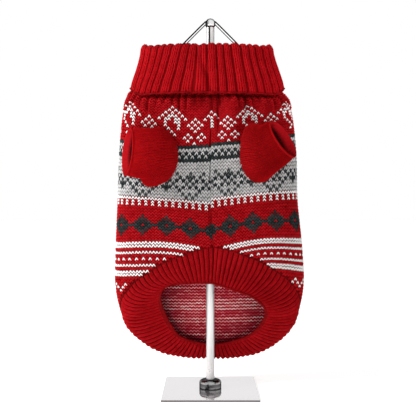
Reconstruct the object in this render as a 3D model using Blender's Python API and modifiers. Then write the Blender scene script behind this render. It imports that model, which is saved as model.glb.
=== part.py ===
"""Knitted dog sweater hung on a chrome display stand.

The cloth is made as thin shells in its worn, hollow shape: a body panel wrapped round and joined up
the belly, a folded collar, two short sleeves and a ribbed hem band. It hangs on the two arms of the
stand. Lengths are in metres, +Z is up, the belly side faces -Y, and the origin is under the middle
of the base plate.
"""
import math

import bmesh
import bpy
import numpy as np
from mathutils import Matrix, Vector

MM = 0.001

# ---------------------------------------------------------------- driving sizes, in millimetres
WALL = 2.0              # thickness of every piece of cloth
SEAM = 0.3              # gap between pieces sewn to each other
NECK_HEIGHT = 340.0     # where the collar is sewn to the body
HEM_SEAM = 1.0          # the same gap down the steep sides of the hem line
SLEEVE_SEAM = 0.7       # the same gap at the armholes, where the belly rounds away
HALF_GIRTH = 234.0      # from mid back round to the belly seam
COLLAR_QUARTER = 35.0   # depth radius of the collar, for the width of its seam
SEAM_LIP = 2.5          # both walls run straight for this far on either side of a seam

# Worn form of the body: level sections from the neck seam down to the tail.
# lean moves the section sideways, squareness is the power of its rounded outline.
FORM_COLUMNS = ("height", "lean", "half_width", "front", "back", "squareness")
FORM = [
    (340.0, -0.8, 75.0, 32.6, 32.6, 2.3),
    (337.5, -0.8, 75.3, 32.8, 32.8, 2.3),
    (336.0, -2.2, 78.5, 34.3, 34.6, 2.3),
    (333.5, -3.8, 83.0, 36.0, 36.4, 2.35),
    (326.0, -3.4, 88.6, 37.5, 38.0, 2.5),
    (308.0, -3.2, 93.0, 38.5, 39.0, 2.6),
    (270.0, -2.9, 97.3, 38.5, 39.0, 2.65),
    (213.0, -3.1, 99.3, 38.5, 39.5, 2.65),
    (163.0, -1.6, 103.0, 39.0, 39.5, 2.6),
    (110.0, -0.6, 105.2, 38.0, 38.5, 2.5),
    (80.0, 0.0, 105.5, 36.0, 37.0, 2.4),
    (60.0, 0.5, 105.0, 33.0, 33.5, 2.3),
    (46.0, 0.8, 104.0, 30.0, 29.5, 2.2),
    (34.0, 0.8, 103.0, 26.0, 22.0, 2.1),
]

# Lower edge of the body panel: its height by the share of the way from mid back to belly seam, and
# how far the hem band draws the panel in there.
HEM_LINE_COLUMNS = ("share", "height", "pull")
HEM_LINE = [
    (0.00, 40.5, 0.5),
    (0.16, 42.5, 1.0),
    (0.27, 49.0, 2.0),
    (0.36, 62.5, 4.0),
    (0.44, 80.0, 5.5),
    (0.51, 95.0, 5.5),
    (0.585, 111.0, 4.0),
    (0.64, 123.5, 3.5),
    (0.70, 133.5, 3.2),
    (0.78, 145.5, 2.8),
    (0.87, 154.2, 2.5),
    (0.95, 160.6, 2.5),
    (1.00, 162.5, 2.5),
]
HEM_PULL_REACH = 34.0   # height over which the panel curves in to its edge

# Free edge of the hem band on either side, by the same share, with its depth (+ is back).
BAND_EDGE_COLUMNS = ("share", "left", "left_height", "right", "right_height", "depth")
BAND_EDGE = [
    (0.00, 1.0, 48.0, 1.0, 48.0, 9.5),
    (0.10, -20.5, 52.5, 22.0, 51.5, 8.0),
    (0.20, -36.5, 60.0, 41.5, 58.5, 4.0),
    (0.30, -46.5, 75.0, 53.0, 68.5, -3.0),
    (0.40, -52.5, 90.0, 59.5, 80.0, -10.0),
    (0.50, -55.0, 102.0, 60.5, 90.0, -18.0),
    (0.60, -53.5, 111.5, 55.0, 100.0, -26.0),
    (0.70, -47.0, 119.0, 43.5, 109.0, -32.0),
    (0.80, -31.0, 122.5, 29.5, 114.5, -36.0),
    (0.90, -12.0, 123.8, 15.5, 119.5, -37.5),
    (1.00, 1.5, 123.8, 1.5, 123.8, -38.0),
]
BAND_ROLL = 15.0        # how far the band carries on down before it turns in

# Soft folds that stand out from the body, on the belly side (-1) or the back (1).
# across, side of the body, height of its middle, half length, half width, how far it stands out
FOLDS = [
    (22.0, -1, 304.0, 46.0, 13.0, 3.2),
    (-26.0, -1, 318.0, 24.0, 8.0, 1.6),
    (-58.0, -1, 320.0, 20.0, 7.0, 1.4),
    (58.0, -1, 318.0, 22.0, 8.0, 1.5),
    (-34.0, 1, 300.0, 44.0, 12.0, 2.4),
    (30.0, 1, 306.0, 38.0, 11.0, 2.2),
    (4.0, 1, 150.0, 60.0, 16.0, 1.8),
]

# Collar, from its seam up the inner layer, over the fold and down to its free edge.
# height at the sides, height at belly and back, lean, half width, half depth
COLLAR = [
    (340.5, 340.5, -0.8, 75.0, 32.6),
    (343.0, 343.0, -0.9, 74.9, 32.5),
    (350.0, 348.5, -1.8, 73.6, 32.2),
    (362.0, 357.0, -3.2, 69.8, 31.2),
    (375.0, 369.0, -3.8, 67.0, 30.3),
    (381.6, 374.8, -3.8, 67.2, 30.6),
    (384.2, 377.2, -3.8, 69.2, 32.4),
    (382.2, 375.2, -3.8, 71.4, 34.4),
    (374.0, 367.0, -3.6, 73.4, 36.2),
    (359.0, 349.0, -3.2, 78.2, 40.4),
    (348.0, 336.0, -3.2, 82.6, 43.4),
    (341.0, 327.0, -3.4, 84.6, 44.8),
]
COLLAR_SQUARENESS = 2.3

# Sleeves: the armhole's place on the belly, and the cuff that the tube turns out to.
# name, side, armhole's x and height, cuff's middle, cuff's half length and half width,
# turn of the cuff away from the belly and its tilt up, in degrees
SLEEVES = [
    ("sleeve_left", -1, (-55.0, 260.0), (-86.5, -50.0, 262.5), (23.5, 12.0), 70.0, 8.0),
    ("sleeve_right", 1, (52.0, 261.0), (76.0, -53.0, 277.0), (22.0, 12.0), 62.0, 34.0),
]
ARMHOLE_HALF_WIDTH = 19.0
ARMHOLE_HALF_HEIGHT = 28.0
ARMHOLE_CUT = 50.0      # reach of the cutter through the belly side alone
SLEEVE_RISE = 20.0      # how far the sleeve stands straight off the belly before it turns

# Stand
PLATE_SIDE = 105.0
PLATE_THICK = 2.0
PLATE_EDGE = 0.5
BOSS_RADIUS = 12.4
BOSS_HEIGHT = 9.5
BOSS_ROUND = 3.5
POST_RADIUS = 4.6
KNOB_RADIUS = 5.9
KNOB_HEIGHT = 409.3     # middle of the knob, which is drilled for the arm rod
KNOB_SEAT = 4.3         # radius of the flat that sits on the post
ARM_RADIUS = 1.9
ARM_PEAK = 415.8        # height where the lines of the two arms would meet
ARM_BEND = 7.0          # half width of the rounded bend between the arms
ARM_REACH = 70.0        # from the post's axis to the middle of an arm's end
ARM_DROP = 1.0          # fall of an arm for each millimetre it reaches out

# Mesh density
PANEL_HALF_STEPS = 30
PANEL_ROWS = 14
ROW_CROWDING = 0.1      # draws the panel's rows together at the shoulders and the hem
COLLAR_STEPS = 44
BAND_ROWS = 4
SLEEVE_STEPS = 26
SLEEVE_RINGS = 5
SECTION_SAMPLES = 400


# ---------------------------------------------------------------- scene, materials and helpers
for old in list(bpy.data.objects):
    bpy.data.objects.remove(old, do_unlink=True)

part = bpy.data.collections.new("dog_sweater_on_stand")
cutters = bpy.data.collections.new("cutters")
for collection in (part, cutters):
    bpy.context.scene.collection.children.link(collection)


def material(name, colour, roughness, metallic=0.0):
    made = bpy.data.materials.new(name)
    made.use_nodes = True
    shader = made.node_tree.nodes["Principled BSDF"]
    shader.inputs["Base Color"].default_value = (*colour, 1.0)
    shader.inputs["Roughness"].default_value = roughness
    shader.inputs["Metallic"].default_value = metallic
    return made


def add(name, mesh, finish, into=part):
    made = bpy.data.objects.new(name, mesh)
    into.objects.link(made)
    if finish:
        mesh.materials.append(finish)
    return made


def move(thing, into):
    for collection in list(thing.users_collection):
        collection.objects.unlink(thing)
    into.objects.link(thing)


def read(table, columns, key, column, at):
    """A column of a table, read smoothly at any value of its key column."""
    keys = np.array([row[columns.index(key)] for row in table])
    values = np.array([row[columns.index(column)] for row in table])
    order = np.argsort(keys)
    keys, values = keys[order], values[order]
    slopes = np.gradient(values, keys)
    at = np.clip(np.asarray(at, float), keys[0], keys[-1])
    low = np.clip(np.searchsorted(keys, at) - 1, 0, len(keys) - 2)
    step = keys[low + 1] - keys[low]
    t = (at - keys[low]) / step
    return ((2 * t**3 - 3 * t**2 + 1) * values[low] + (t**3 - 2 * t**2 + t) * step * slopes[low]
            + (3 * t**2 - 2 * t**3) * values[low + 1] + (t**3 - t**2) * step * slopes[low + 1])


def cloth(name, rings, finish, closed):
    """A wall of cloth through rings of points, each ring closed round or left open at a seam."""
    shape = bmesh.new()
    rows = [[shape.verts.new(Vector(point) * MM) for point in ring] for ring in rings]
    for upper, lower in zip(rows, rows[1:]):
        last = len(upper) if closed else len(upper) - 1
        for i in range(last):
            j = (i + 1) % len(upper)
            shape.faces.new((upper[i], lower[i], lower[j], upper[j]))
    mesh = bpy.data.meshes.new(name)
    shape.to_mesh(mesh)
    shape.free()
    mesh.shade_smooth()
    made = add(name, mesh, finish)
    wall = made.modifiers.new("wall", "SOLIDIFY")
    wall.thickness = WALL * MM
    wall.offset = 0.0
    wall.use_even_offset = True
    return made


red_wool = material("red_wool", (0.45, 0.01, 0.02), 0.9)
patterned_wool = material("patterned_wool", (0.5, 0.06, 0.07), 0.9)
sleeve_wool = material("sleeve_wool", (0.3, 0.005, 0.01), 0.9)
band_wool = material("band_wool", (0.38, 0.008, 0.015), 0.9)
chrome = material("chrome", (0.85, 0.85, 0.86), 0.08, 1.0)


# ---------------------------------------------------------------- body panel
def form(column, height):
    return read(FORM, FORM_COLUMNS, "height", column, height)


def hem(column, share):
    return float(read(HEM_LINE, HEM_LINE_COLUMNS, "share", column, share))


def section_point(height, share, side):
    """A point on the level section, by its share of the way round from mid back to mid belly."""
    turn = np.linspace(0.0, math.pi, SECTION_SAMPLES)
    power = 2.0 / form("squareness", height)
    across = form("half_width", height) * np.abs(np.sin(turn)) ** power
    along = np.abs(np.cos(turn)) ** power
    depth = np.where(turn < math.pi / 2, form("back", height) * along, -form("front", height) * along)
    length = np.concatenate([[0.0], np.cumsum(np.hypot(np.diff(across), np.diff(depth)))])
    at = share * length[-1]
    return np.array([form("lean", height) + side * np.interp(at, length, across),
                     np.interp(at, length, depth)])


def fold_lift(x, y, height):
    """How far the soft folds lift the panel at this place."""
    lift = 0.0
    for across, depth_side, middle, half_length, half_width, tall in FOLDS:
        if depth_side * y <= 0:
            continue
        u = abs(x - across) / half_width
        v = abs(height - middle) / half_length
        if u < 1 and v < 1:
            lift += tall * math.cos(u * math.pi / 2) ** 2 * math.cos(v * math.pi / 2) ** 2
    return lift


def body_point(height, share, side):
    """The middle of the body's wall, folds and the hem's pull included."""
    x, y = section_point(height, share, side)
    ahead = section_point(height, min(share + 0.004, 1.0), side)
    behind = section_point(height, max(share - 0.004, 0.0), side)
    run = ahead - behind
    outward = np.array([run[1], -run[0]]) * -side
    outward /= np.linalg.norm(outward)
    above_edge = max(height - hem("height", share), 0.0)
    near = max(1.0 - above_edge / HEM_PULL_REACH, 0.0) ** 2
    push = fold_lift(x, y, height) - hem("pull", share) * near
    return Vector((x + outward[0] * push, y + outward[1] * push, height))


def belly_depth(x, height):
    """Depth of the middle of the body's wall at a place on the belly side."""
    power = form("squareness", height)
    across = abs(x - form("lean", height)) / form("half_width", height)
    return -form("front", height) * (1.0 - across**power) ** (1.0 / power)


def stations():
    """(share, side) round the panel, from one belly edge over the back to the other."""
    edge = 1.0 - 0.5 * SEAM / HALF_GIRTH
    shares = [edge * (1 - i / PANEL_HALF_STEPS) for i in range(PANEL_HALF_STEPS + 1)]
    return [(share, -1) for share in shares] + [(share, 1) for share in reversed(shares[:-1])]


def body_rings():
    """Rings from the neck seam to the hem line, closer together at the shoulders and the hem."""
    top = NECK_HEIGHT - SEAM_LIP
    rings = [[body_point(NECK_HEIGHT, share, side) for share, side in stations()]]
    for row in range(PANEL_ROWS + 1):
        down = row / PANEL_ROWS
        down -= ROW_CROWDING * math.sin(2 * math.pi * down)
        rings.append([body_point(top + (hem("height", share) + SEAM_LIP - top) * down,
                                 share, side) for share, side in stations()])
    rings.append([body_point(hem("height", share), share, side) for share, side in stations()])
    return rings


body = cloth("body_panel", body_rings(), patterned_wool, closed=False)
for name, side, (x, z), *_ in SLEEVES:
    bpy.ops.mesh.primitive_cylinder_add(vertices=32, radius=1.0, depth=1.0,
                                        rotation=(math.pi / 2, 0, 0))
    hole = bpy.context.object
    hole.name = name + "_armhole"
    hole.data.transform(Matrix.Diagonal((ARMHOLE_HALF_WIDTH * MM, ARMHOLE_HALF_HEIGHT * MM,
                                         ARMHOLE_CUT * MM, 1.0)))
    hole.location = (x * MM, float(belly_depth(x, z)) * MM, z * MM)
    hole.hide_render = True
    hole.display_type = "WIRE"
    move(hole, cutters)
    cut = body.modifiers.new(name + "_armhole", "BOOLEAN")
    cut.operation = "DIFFERENCE"
    cut.solver = "EXACT"
    cut.object = hole


# ---------------------------------------------------------------- folded collar
def collar_rings():
    rings = []
    opening = 0.5 * SEAM / COLLAR_QUARTER
    for side_height, belly_height, lean, half_width, half_depth in COLLAR:
        power = 2.0 / COLLAR_SQUARENESS
        ring = []
        for i in range(COLLAR_STEPS + 1):
            turn = opening + (2 * math.pi - 2 * opening) * i / COLLAR_STEPS
            across, along = math.sin(turn), math.cos(turn)
            x = lean - math.copysign(half_width * abs(across) ** power, across)
            y = -math.copysign(half_depth * abs(along) ** power, along)
            z = side_height + (belly_height - side_height) * along**2
            ring.append((x, y, z))
        rings.append(ring)
    return rings


cloth("collar", collar_rings(), red_wool, closed=False)


# ---------------------------------------------------------------- sleeves
def sleeve_rings(row):
    """Rings from the armhole, standing off the belly, to the cuff that faces out sideways."""
    name, side, (hole_x, hole_z), cuff, (cuff_half_long, cuff_half_short), turn, tilt = row
    root = Vector((hole_x, belly_depth(hole_x, hole_z) - WALL - SEAM_LIP, hole_z))
    root_long = ARMHOLE_HALF_HEIGHT + WALL / 2
    root_short = ARMHOLE_HALF_WIDTH + WALL / 2
    bend = root + Vector((0, -SLEEVE_RISE, 0))
    turns = [-side * 2 * math.pi * k / SLEEVE_STEPS for k in range(SLEEVE_STEPS)]
    sewn = []
    for angle in turns:
        x = hole_x - side * root_short * math.sin(angle)
        z = hole_z + root_long * math.cos(angle)
        sewn.append(Vector((x, float(belly_depth(x, z)) - WALL / 2 - SLEEVE_SEAM, z)))
    rings = [sewn, [point + Vector((0, -SEAM_LIP, 0)) for point in sewn]]
    for i in range(1, SLEEVE_RINGS + 1):
        t = i / SLEEVE_RINGS
        middle = root * (1 - t) ** 2 + bend * 2 * t * (1 - t) + Vector(cuff) * t**2
        turned = math.radians(turn) * t
        tilted = math.radians(tilt) * t
        facing = Vector((side * math.sin(turned) * math.cos(tilted), -math.cos(turned),
                         math.sin(turned) * math.sin(tilted)))
        upright = Vector((-side * math.sin(tilted), 0, math.cos(tilted)))
        across = facing.cross(upright).normalized() * side
        long_half = root_long + (cuff_half_long - root_long) * t
        short_half = root_short + (cuff_half_short - root_short) * t
        rings.append([middle + upright * long_half * math.cos(angle)
                      + across * short_half * math.sin(angle) for angle in turns])
    return rings


for row in SLEEVES:
    cloth(row[0], sleeve_rings(row), sleeve_wool, closed=True)


# ---------------------------------------------------------------- hem band
def band_rings():
    """Rings from the hem line, where the band carries on down, to its free edge further in."""
    rings = [[] for row in range(BAND_ROWS + 2)]
    for share, side in stations():
        edge_height = hem("height", share)
        sewn = body_point(edge_height, share, side)
        down = (sewn - body_point(edge_height + SEAM_LIP, share, side)).normalized()
        start = sewn + down * (HEM_SEAM + SEAM_LIP)
        turn = start + down * BAND_ROLL
        column = "left" if side < 0 else "right"
        end = Vector([float(read(BAND_EDGE, BAND_EDGE_COLUMNS, "share", name, share))
                      for name in (column, "depth", column + "_height")])
        rings[0].append(sewn + down * HEM_SEAM)
        for row in range(BAND_ROWS + 1):
            t = row / BAND_ROWS
            rings[row + 1].append(start * (1 - t) ** 2 + turn * 2 * t * (1 - t) + end * t**2)
    return rings


cloth("hem_band", band_rings(), band_wool, closed=False)


# ---------------------------------------------------------------- stand
def turned(name, profile, finish):
    """A solid turned about the post's axis from (radius, height) points, top to bottom."""
    shape = bmesh.new()
    points = [shape.verts.new((radius * MM, 0, height * MM)) for radius, height in profile]
    for upper, lower in zip(points, points[1:]):
        shape.edges.new((upper, lower))
    mesh = bpy.data.meshes.new(name)
    shape.to_mesh(mesh)
    shape.free()
    made = add(name, mesh, finish)
    screw = made.modifiers.new("turned", "SCREW")
    screw.steps = screw.render_steps = 24
    screw.use_merge_vertices = True
    screw.merge_threshold = 0.00001
    screw.use_smooth_shade = True
    return made


def arc(middle, radius, start, end, steps):
    """(radius, height) points on an arc in the profile's plane, angles in degrees from level."""
    angles = [math.radians(start + (end - start) * i / steps) for i in range(steps + 1)]
    return [(middle[0] + radius * math.cos(a), middle[1] + radius * math.sin(a)) for a in angles]


bpy.ops.mesh.primitive_cube_add(size=1.0, location=(0, 0, PLATE_THICK / 2 * MM))
plate = bpy.context.object
plate.name = "base_plate"
plate.data.transform(Matrix.Diagonal((PLATE_SIDE * MM, PLATE_SIDE * MM, PLATE_THICK * MM, 1.0)))
plate.data.materials.append(chrome)
move(plate, part)
edge = plate.modifiers.new("edge", "BEVEL")
edge.width = PLATE_EDGE * MM
edge.segments = 2

boss_foot = PLATE_THICK + SEAM
boss_top = PLATE_THICK + BOSS_HEIGHT
turned("boss", [(0, boss_top)]
       + arc((BOSS_RADIUS - BOSS_ROUND, boss_top - BOSS_ROUND), BOSS_ROUND, 90, 0, 6)
       + [(BOSS_RADIUS, boss_foot), (0, boss_foot)], chrome)

knob_seat = KNOB_HEIGHT - math.sqrt(KNOB_RADIUS**2 - KNOB_SEAT**2)
seat_angle = -math.degrees(math.acos(KNOB_SEAT / KNOB_RADIUS))
turned("post", [(0, knob_seat - SEAM), (POST_RADIUS, knob_seat - SEAM),
                (POST_RADIUS, boss_top + SEAM), (0, boss_top + SEAM)], chrome)
knob = turned("knob", arc((0, KNOB_HEIGHT), KNOB_RADIUS, 90, seat_angle, 9) + [(0, knob_seat)],
              chrome)


def arm_route():
    """The bent rod's middle line, from one tip over the knob to the other."""
    route = []
    for i in range(-10, 11):
        x = ARM_REACH * math.copysign(abs(i / 10) ** 1.6, i)
        bent = ARM_BEND / 2 + x**2 / (2 * ARM_BEND)
        away = abs(x) if abs(x) > ARM_BEND else bent
        route.append((x, 0.0, ARM_PEAK - ARM_DROP * away))
    return route


def rod(name, radius, finish, into):
    """A round rod along the arms' route, as a closed mesh."""
    curve = bpy.data.curves.new(name, "CURVE")
    curve.dimensions = "3D"
    curve.bevel_depth = radius * MM
    curve.bevel_resolution = 3
    curve.use_fill_caps = True
    route = arm_route()
    spline = curve.splines.new("POLY")
    spline.points.add(len(route) - 1)
    for point, place in zip(spline.points, route):
        point.co = (*(Vector(place) * MM), 1.0)
    bent = add(name + "_route", curve, None, into)
    bpy.context.view_layer.update()
    mesh = bpy.data.meshes.new_from_object(bent.evaluated_get(bpy.context.evaluated_depsgraph_get()))
    bpy.data.objects.remove(bent, do_unlink=True)
    shape = bmesh.new()
    shape.from_mesh(mesh)
    bmesh.ops.remove_doubles(shape, verts=shape.verts, dist=0.000001)
    bmesh.ops.recalc_face_normals(shape, faces=shape.faces)
    shape.to_mesh(mesh)
    shape.free()
    mesh.shade_smooth()
    return add(name, mesh, finish, into)


rod("arm_rod", ARM_RADIUS, chrome, part)
bore = rod("knob_bore", ARM_RADIUS + SEAM, None, cutters)
bore.hide_render = True
bore.display_type = "WIRE"
drilled = knob.modifiers.new("drilled", "BOOLEAN")
drilled.operation = "DIFFERENCE"
drilled.solver = "EXACT"
drilled.object = bore
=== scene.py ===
import math

import bmesh
import bpy
import numpy as np
from mathutils import Matrix, Vector


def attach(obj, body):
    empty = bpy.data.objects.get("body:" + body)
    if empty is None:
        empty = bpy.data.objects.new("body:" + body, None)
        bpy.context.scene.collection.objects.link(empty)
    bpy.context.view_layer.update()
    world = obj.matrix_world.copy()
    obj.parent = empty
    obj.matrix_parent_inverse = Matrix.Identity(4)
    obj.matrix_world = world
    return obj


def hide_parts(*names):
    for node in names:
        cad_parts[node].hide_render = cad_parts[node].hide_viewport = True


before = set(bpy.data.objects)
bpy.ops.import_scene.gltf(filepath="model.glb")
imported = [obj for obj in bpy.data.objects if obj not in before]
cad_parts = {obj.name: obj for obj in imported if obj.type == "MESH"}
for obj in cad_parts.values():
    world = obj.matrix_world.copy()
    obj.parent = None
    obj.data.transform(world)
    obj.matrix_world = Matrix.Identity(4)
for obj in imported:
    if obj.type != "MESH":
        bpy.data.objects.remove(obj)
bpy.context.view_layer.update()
MM = 0.001

# ---------------------------------------------------------------- body panel, knitted
# The body is one tube of stocking stitch in four colours of wool, 124 stitches round, closed by a
# seam down the belly. It is shaped by its worn form: narrow at the neck, cut up high at the belly.

WALES = 124             # columns of stitches round the body
COURSES = 92            # rows of stitches from the neck down to the tail
FIRST_COURSE = -9.5     # the neck edge, in rows from the top of the pattern
HALF_GIRTH = 234.0
NECK_HEIGHT = 342.5     # the neck edge stands a little way up inside the collar

# Level sections of the worn form, from the neck seam down.
FORM_COLUMNS = ("height", "lean", "half_width", "front", "back", "squareness")
FORM = [
    (340.0, -0.8, 75.0, 32.6, 32.6, 2.3),
    (337.5, -0.8, 75.3, 32.8, 32.8, 2.3),
    (336.0, -2.2, 78.5, 34.3, 34.6, 2.3),
    (333.5, -3.8, 83.0, 36.0, 36.4, 2.35),
    (326.0, -3.4, 88.6, 37.5, 38.0, 2.5),
    (308.0, -3.2, 93.0, 38.5, 39.0, 2.6),
    (270.0, -2.9, 97.3, 38.5, 39.0, 2.65),
    (213.0, -3.1, 99.3, 38.5, 39.5, 2.65),
    (163.0, -1.6, 103.0, 39.0, 39.5, 2.6),
    (110.0, -0.6, 105.2, 38.0, 38.5, 2.5),
    (80.0, 0.0, 105.5, 36.0, 37.0, 2.4),
    (60.0, 0.5, 105.0, 33.0, 33.5, 2.3),
    (46.0, 0.8, 104.0, 30.0, 29.5, 2.2),
    (34.0, 0.8, 103.0, 26.0, 22.0, 2.1),
]

# Lower edge of the panel, by the share of the way from mid back to mid belly, and how far the
# hem band draws the panel in there.
HEM_COLUMNS = ("share", "height", "pull")
HEM_LINE = [
    (0.00, 40.5, 0.5),
    (0.16, 42.5, 1.0),
    (0.27, 49.0, 2.0),
    (0.36, 62.5, 4.0),
    (0.44, 80.0, 5.5),
    (0.51, 95.0, 5.5),
    (0.585, 111.0, 4.0),
    (0.64, 123.5, 3.5),
    (0.70, 133.5, 3.2),
    (0.78, 145.5, 2.8),
    (0.87, 154.2, 2.5),
    (0.95, 160.6, 2.5),
    (1.00, 162.5, 2.5),
]
HEM_PULL_REACH = 34.0

# Soft folds: across, side (-1 belly, 1 back), middle height, half length, half width, height.
FOLDS = [
    (22.0, -1, 304.0, 46.0, 13.0, 3.2),
    (-26.0, -1, 318.0, 24.0, 8.0, 1.6),
    (-58.0, -1, 320.0, 20.0, 7.0, 1.4),
    (58.0, -1, 318.0, 22.0, 8.0, 1.5),
    (-34.0, 1, 300.0, 44.0, 12.0, 2.4),
    (30.0, 1, 306.0, 38.0, 11.0, 2.2),
    (4.0, 1, 150.0, 60.0, 16.0, 1.8),
    (8.0, -1, 318.0, 44.0, 3.8, -7.0),
    (22.0, -1, 316.0, 42.0, 12.0, 4.0),
    (38.0, -1, 319.0, 28.0, 4.0, -5.0),
    (-12.0, -1, 322.0, 18.0, 5.0, -1.2),
    (-42.0, -1, 322.0, 18.0, 6.0, -1.2),
]

# How the rows of stitches hang: a row, and its height at places round the body, from the seam's
# right edge by way of the back to its left edge. The halves differ a little, because they are sewn
# together by hand.
HANG_PLACES = (0.0, 0.2, 0.5, 1.0, 1.5, 1.8, 2.0)   # half girths from the seam's right edge
HANG = [
    (-9.5, 339.5, 339.5, 339.5, 339.5, 339.5, 339.5, 339.5),
    (2, 307.0, 308.0, 318.0, 304.0, 318.0, 306.5, 305.0),
    (13, 272.2, 276.0, 285.4, 268.0, 278.6, 268.9, 270.4),
    (17, 257.5, 261.0, 270.0, 255.0, 264.6, 255.1, 255.5),
    (29, 213.4, 218.8, 222.4, 213.0, 216.7, 213.1, 209.3),
    (44, 160.0, 169.6, 168.4, 162.0, 164.3, 166.6, 159.0),
    (54, 126.0, 140.0, 133.8, 128.0, 130.0, 132.0, 126.0),
    (82, 40.0, 40.0, 34.0, 27.0, 34.0, 40.0, 40.0),
]


def read(keys, values, at):
    """A smooth curve through a table's values."""
    keys, values = np.asarray(keys, float), np.asarray(values, float)
    order = np.argsort(keys)
    keys, values = keys[order], values[order]
    slopes = np.gradient(values, keys)
    at = np.clip(np.asarray(at, float), keys[0], keys[-1])
    low = np.clip(np.searchsorted(keys, at) - 1, 0, len(keys) - 2)
    step = keys[low + 1] - keys[low]
    t = (at - keys[low]) / step
    return ((2 * t**3 - 3 * t**2 + 1) * values[low] + (t**3 - 2 * t**2 + t) * step * slopes[low]
            + (3 * t**2 - 2 * t**3) * values[low + 1] + (t**3 - t**2) * step * slopes[low + 1])


def curves(table, names):
    """Smooth curves through a table's columns, by name, against its first column."""
    def curve(name, at):
        return read([row[0] for row in table], [row[names.index(name)] for row in table], at)
    return curve


form = curves(FORM, FORM_COLUMNS)
hem = curves(HEM_LINE, HEM_COLUMNS)

# The level sections at close heights, as points spaced evenly from mid back round to mid belly.
FORM_FOOT, FORM_TOP = FORM[-1][0], FORM[0][0]
SECTION_STEP = 0.5
SECTION_POINTS = 300
SECTION_TURNS = 400
section_shares = np.linspace(0.0, 1.0, SECTION_POINTS + 1)
section_across = []
section_depth = []
for level in np.arange(FORM_FOOT, FORM_TOP + 1.2 * SECTION_STEP, SECTION_STEP):
    turn = np.linspace(0.0, math.pi, SECTION_TURNS)
    power = 2.0 / form("squareness", level)
    across = form("half_width", level) * np.abs(np.sin(turn)) ** power
    along = np.abs(np.cos(turn)) ** power
    depth = np.where(turn < math.pi / 2, form("back", level) * along, -form("front", level) * along)
    length = np.concatenate([[0.0], np.cumsum(np.hypot(np.diff(across), np.diff(depth)))])
    section_across.append(np.interp(section_shares * length[-1], length, across))
    section_depth.append(np.interp(section_shares * length[-1], length, depth))
section_across = np.array(section_across)
section_depth = np.array(section_depth)


def between(grid, down, across):
    """Values of a grid at places between its points."""
    i = np.clip(np.floor(down).astype(int), 0, grid.shape[0] - 2)
    j = np.clip(np.floor(across).astype(int), 0, grid.shape[1] - 2)
    a, b = down - i, across - j
    if grid.ndim == 3:
        a, b = a[..., None], b[..., None]
    return ((1 - a) * ((1 - b) * grid[i, j] + b * grid[i, j + 1])
            + a * ((1 - b) * grid[i + 1, j] + b * grid[i + 1, j + 1]))


def share_of(place):
    """Share of the way from mid back to mid belly, for a place in half girths from the seam."""
    return np.abs(1.0 - place)


# The belly seam is sewn a little to one side of the middle, and draws the cloth round with it.
seam_shift = curves([(340.0, 0.8), (300.0, 3.2), (213.0, 3.4), (163.0, 4.5)], ("height", "shift"))


def on_section(height, place):
    """Across and depth of the bare form at a height and a place round it."""
    shift = seam_shift("shift", height) / HALF_GIRTH
    place = np.mod(place + shift * 0.5 * (1.0 + np.cos(math.pi * place)), 2.0)
    side = np.where(place < 1.0, 1.0, -1.0)
    down = (np.clip(height, FORM_FOOT, FORM_TOP) - FORM_FOOT) / SECTION_STEP
    across = np.clip(share_of(place), 0.0, 1.0) * SECTION_POINTS
    x = form("lean", height) + side * between(section_across, down, across)
    return x, between(section_depth, down, across)


def fold_lift(x, y, height):
    lift = np.zeros_like(x)
    for across, depth_side, middle, half_length, half_width, tall in FOLDS:
        u = np.clip(np.abs(x - across) / half_width, 0, 1)
        v = np.clip(np.abs(height - middle) / half_length, 0, 1)
        bump = tall * np.cos(u * math.pi / 2) ** 2 * np.cos(v * math.pi / 2) ** 2
        lift += np.where(depth_side * y > 0, bump, 0.0)
    return lift


def smooth(value):
    value = np.clip(value, 0.0, 1.0)
    return value * value * (3 - 2 * value)


SEAM_GROOVE_DEEP = 2.4
SEAM_GROOVE_WIDE = 2.0
SMALL_TURN = 0.004      # for the way the cloth runs round at a place

# Under the collar the cloth is drawn in, in small upright pleats that run out a little way down.
# The waves don't fall in step, so no two pleats are as wide or as long.
PLEAT_DEEP = 6.4
PLEAT_CREST = 0.8       # share of the pleats' depth that lies inside the form
PLEAT_FOOT = 316.0
PLEAT_FADE = 12.0
PLEAT_TURNS = (161.0, 23.0, 37.0)   # how fast the pleats, their widths and their lengths vary
PLEAT_SWAY = 0.9        # how much some of them are wider
PLEAT_REACH = (9.0, 5.0)
DRAWN_IN = 8.0
DRAWN_IN_FOOT = 320.5
DRAWN_IN_FADE = 5.0
NECK_EASE = 341.0       # here the panel runs straight into the collar; pleats and draw end below
PLEAT_EASE = 6.0
DRAWN_IN_EASE = 8.0
SHOULDER_OUT = 88.0     # the shoulders, which the arms hold out, aren't drawn in
SHOULDER_WIDE = 26.0


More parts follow.
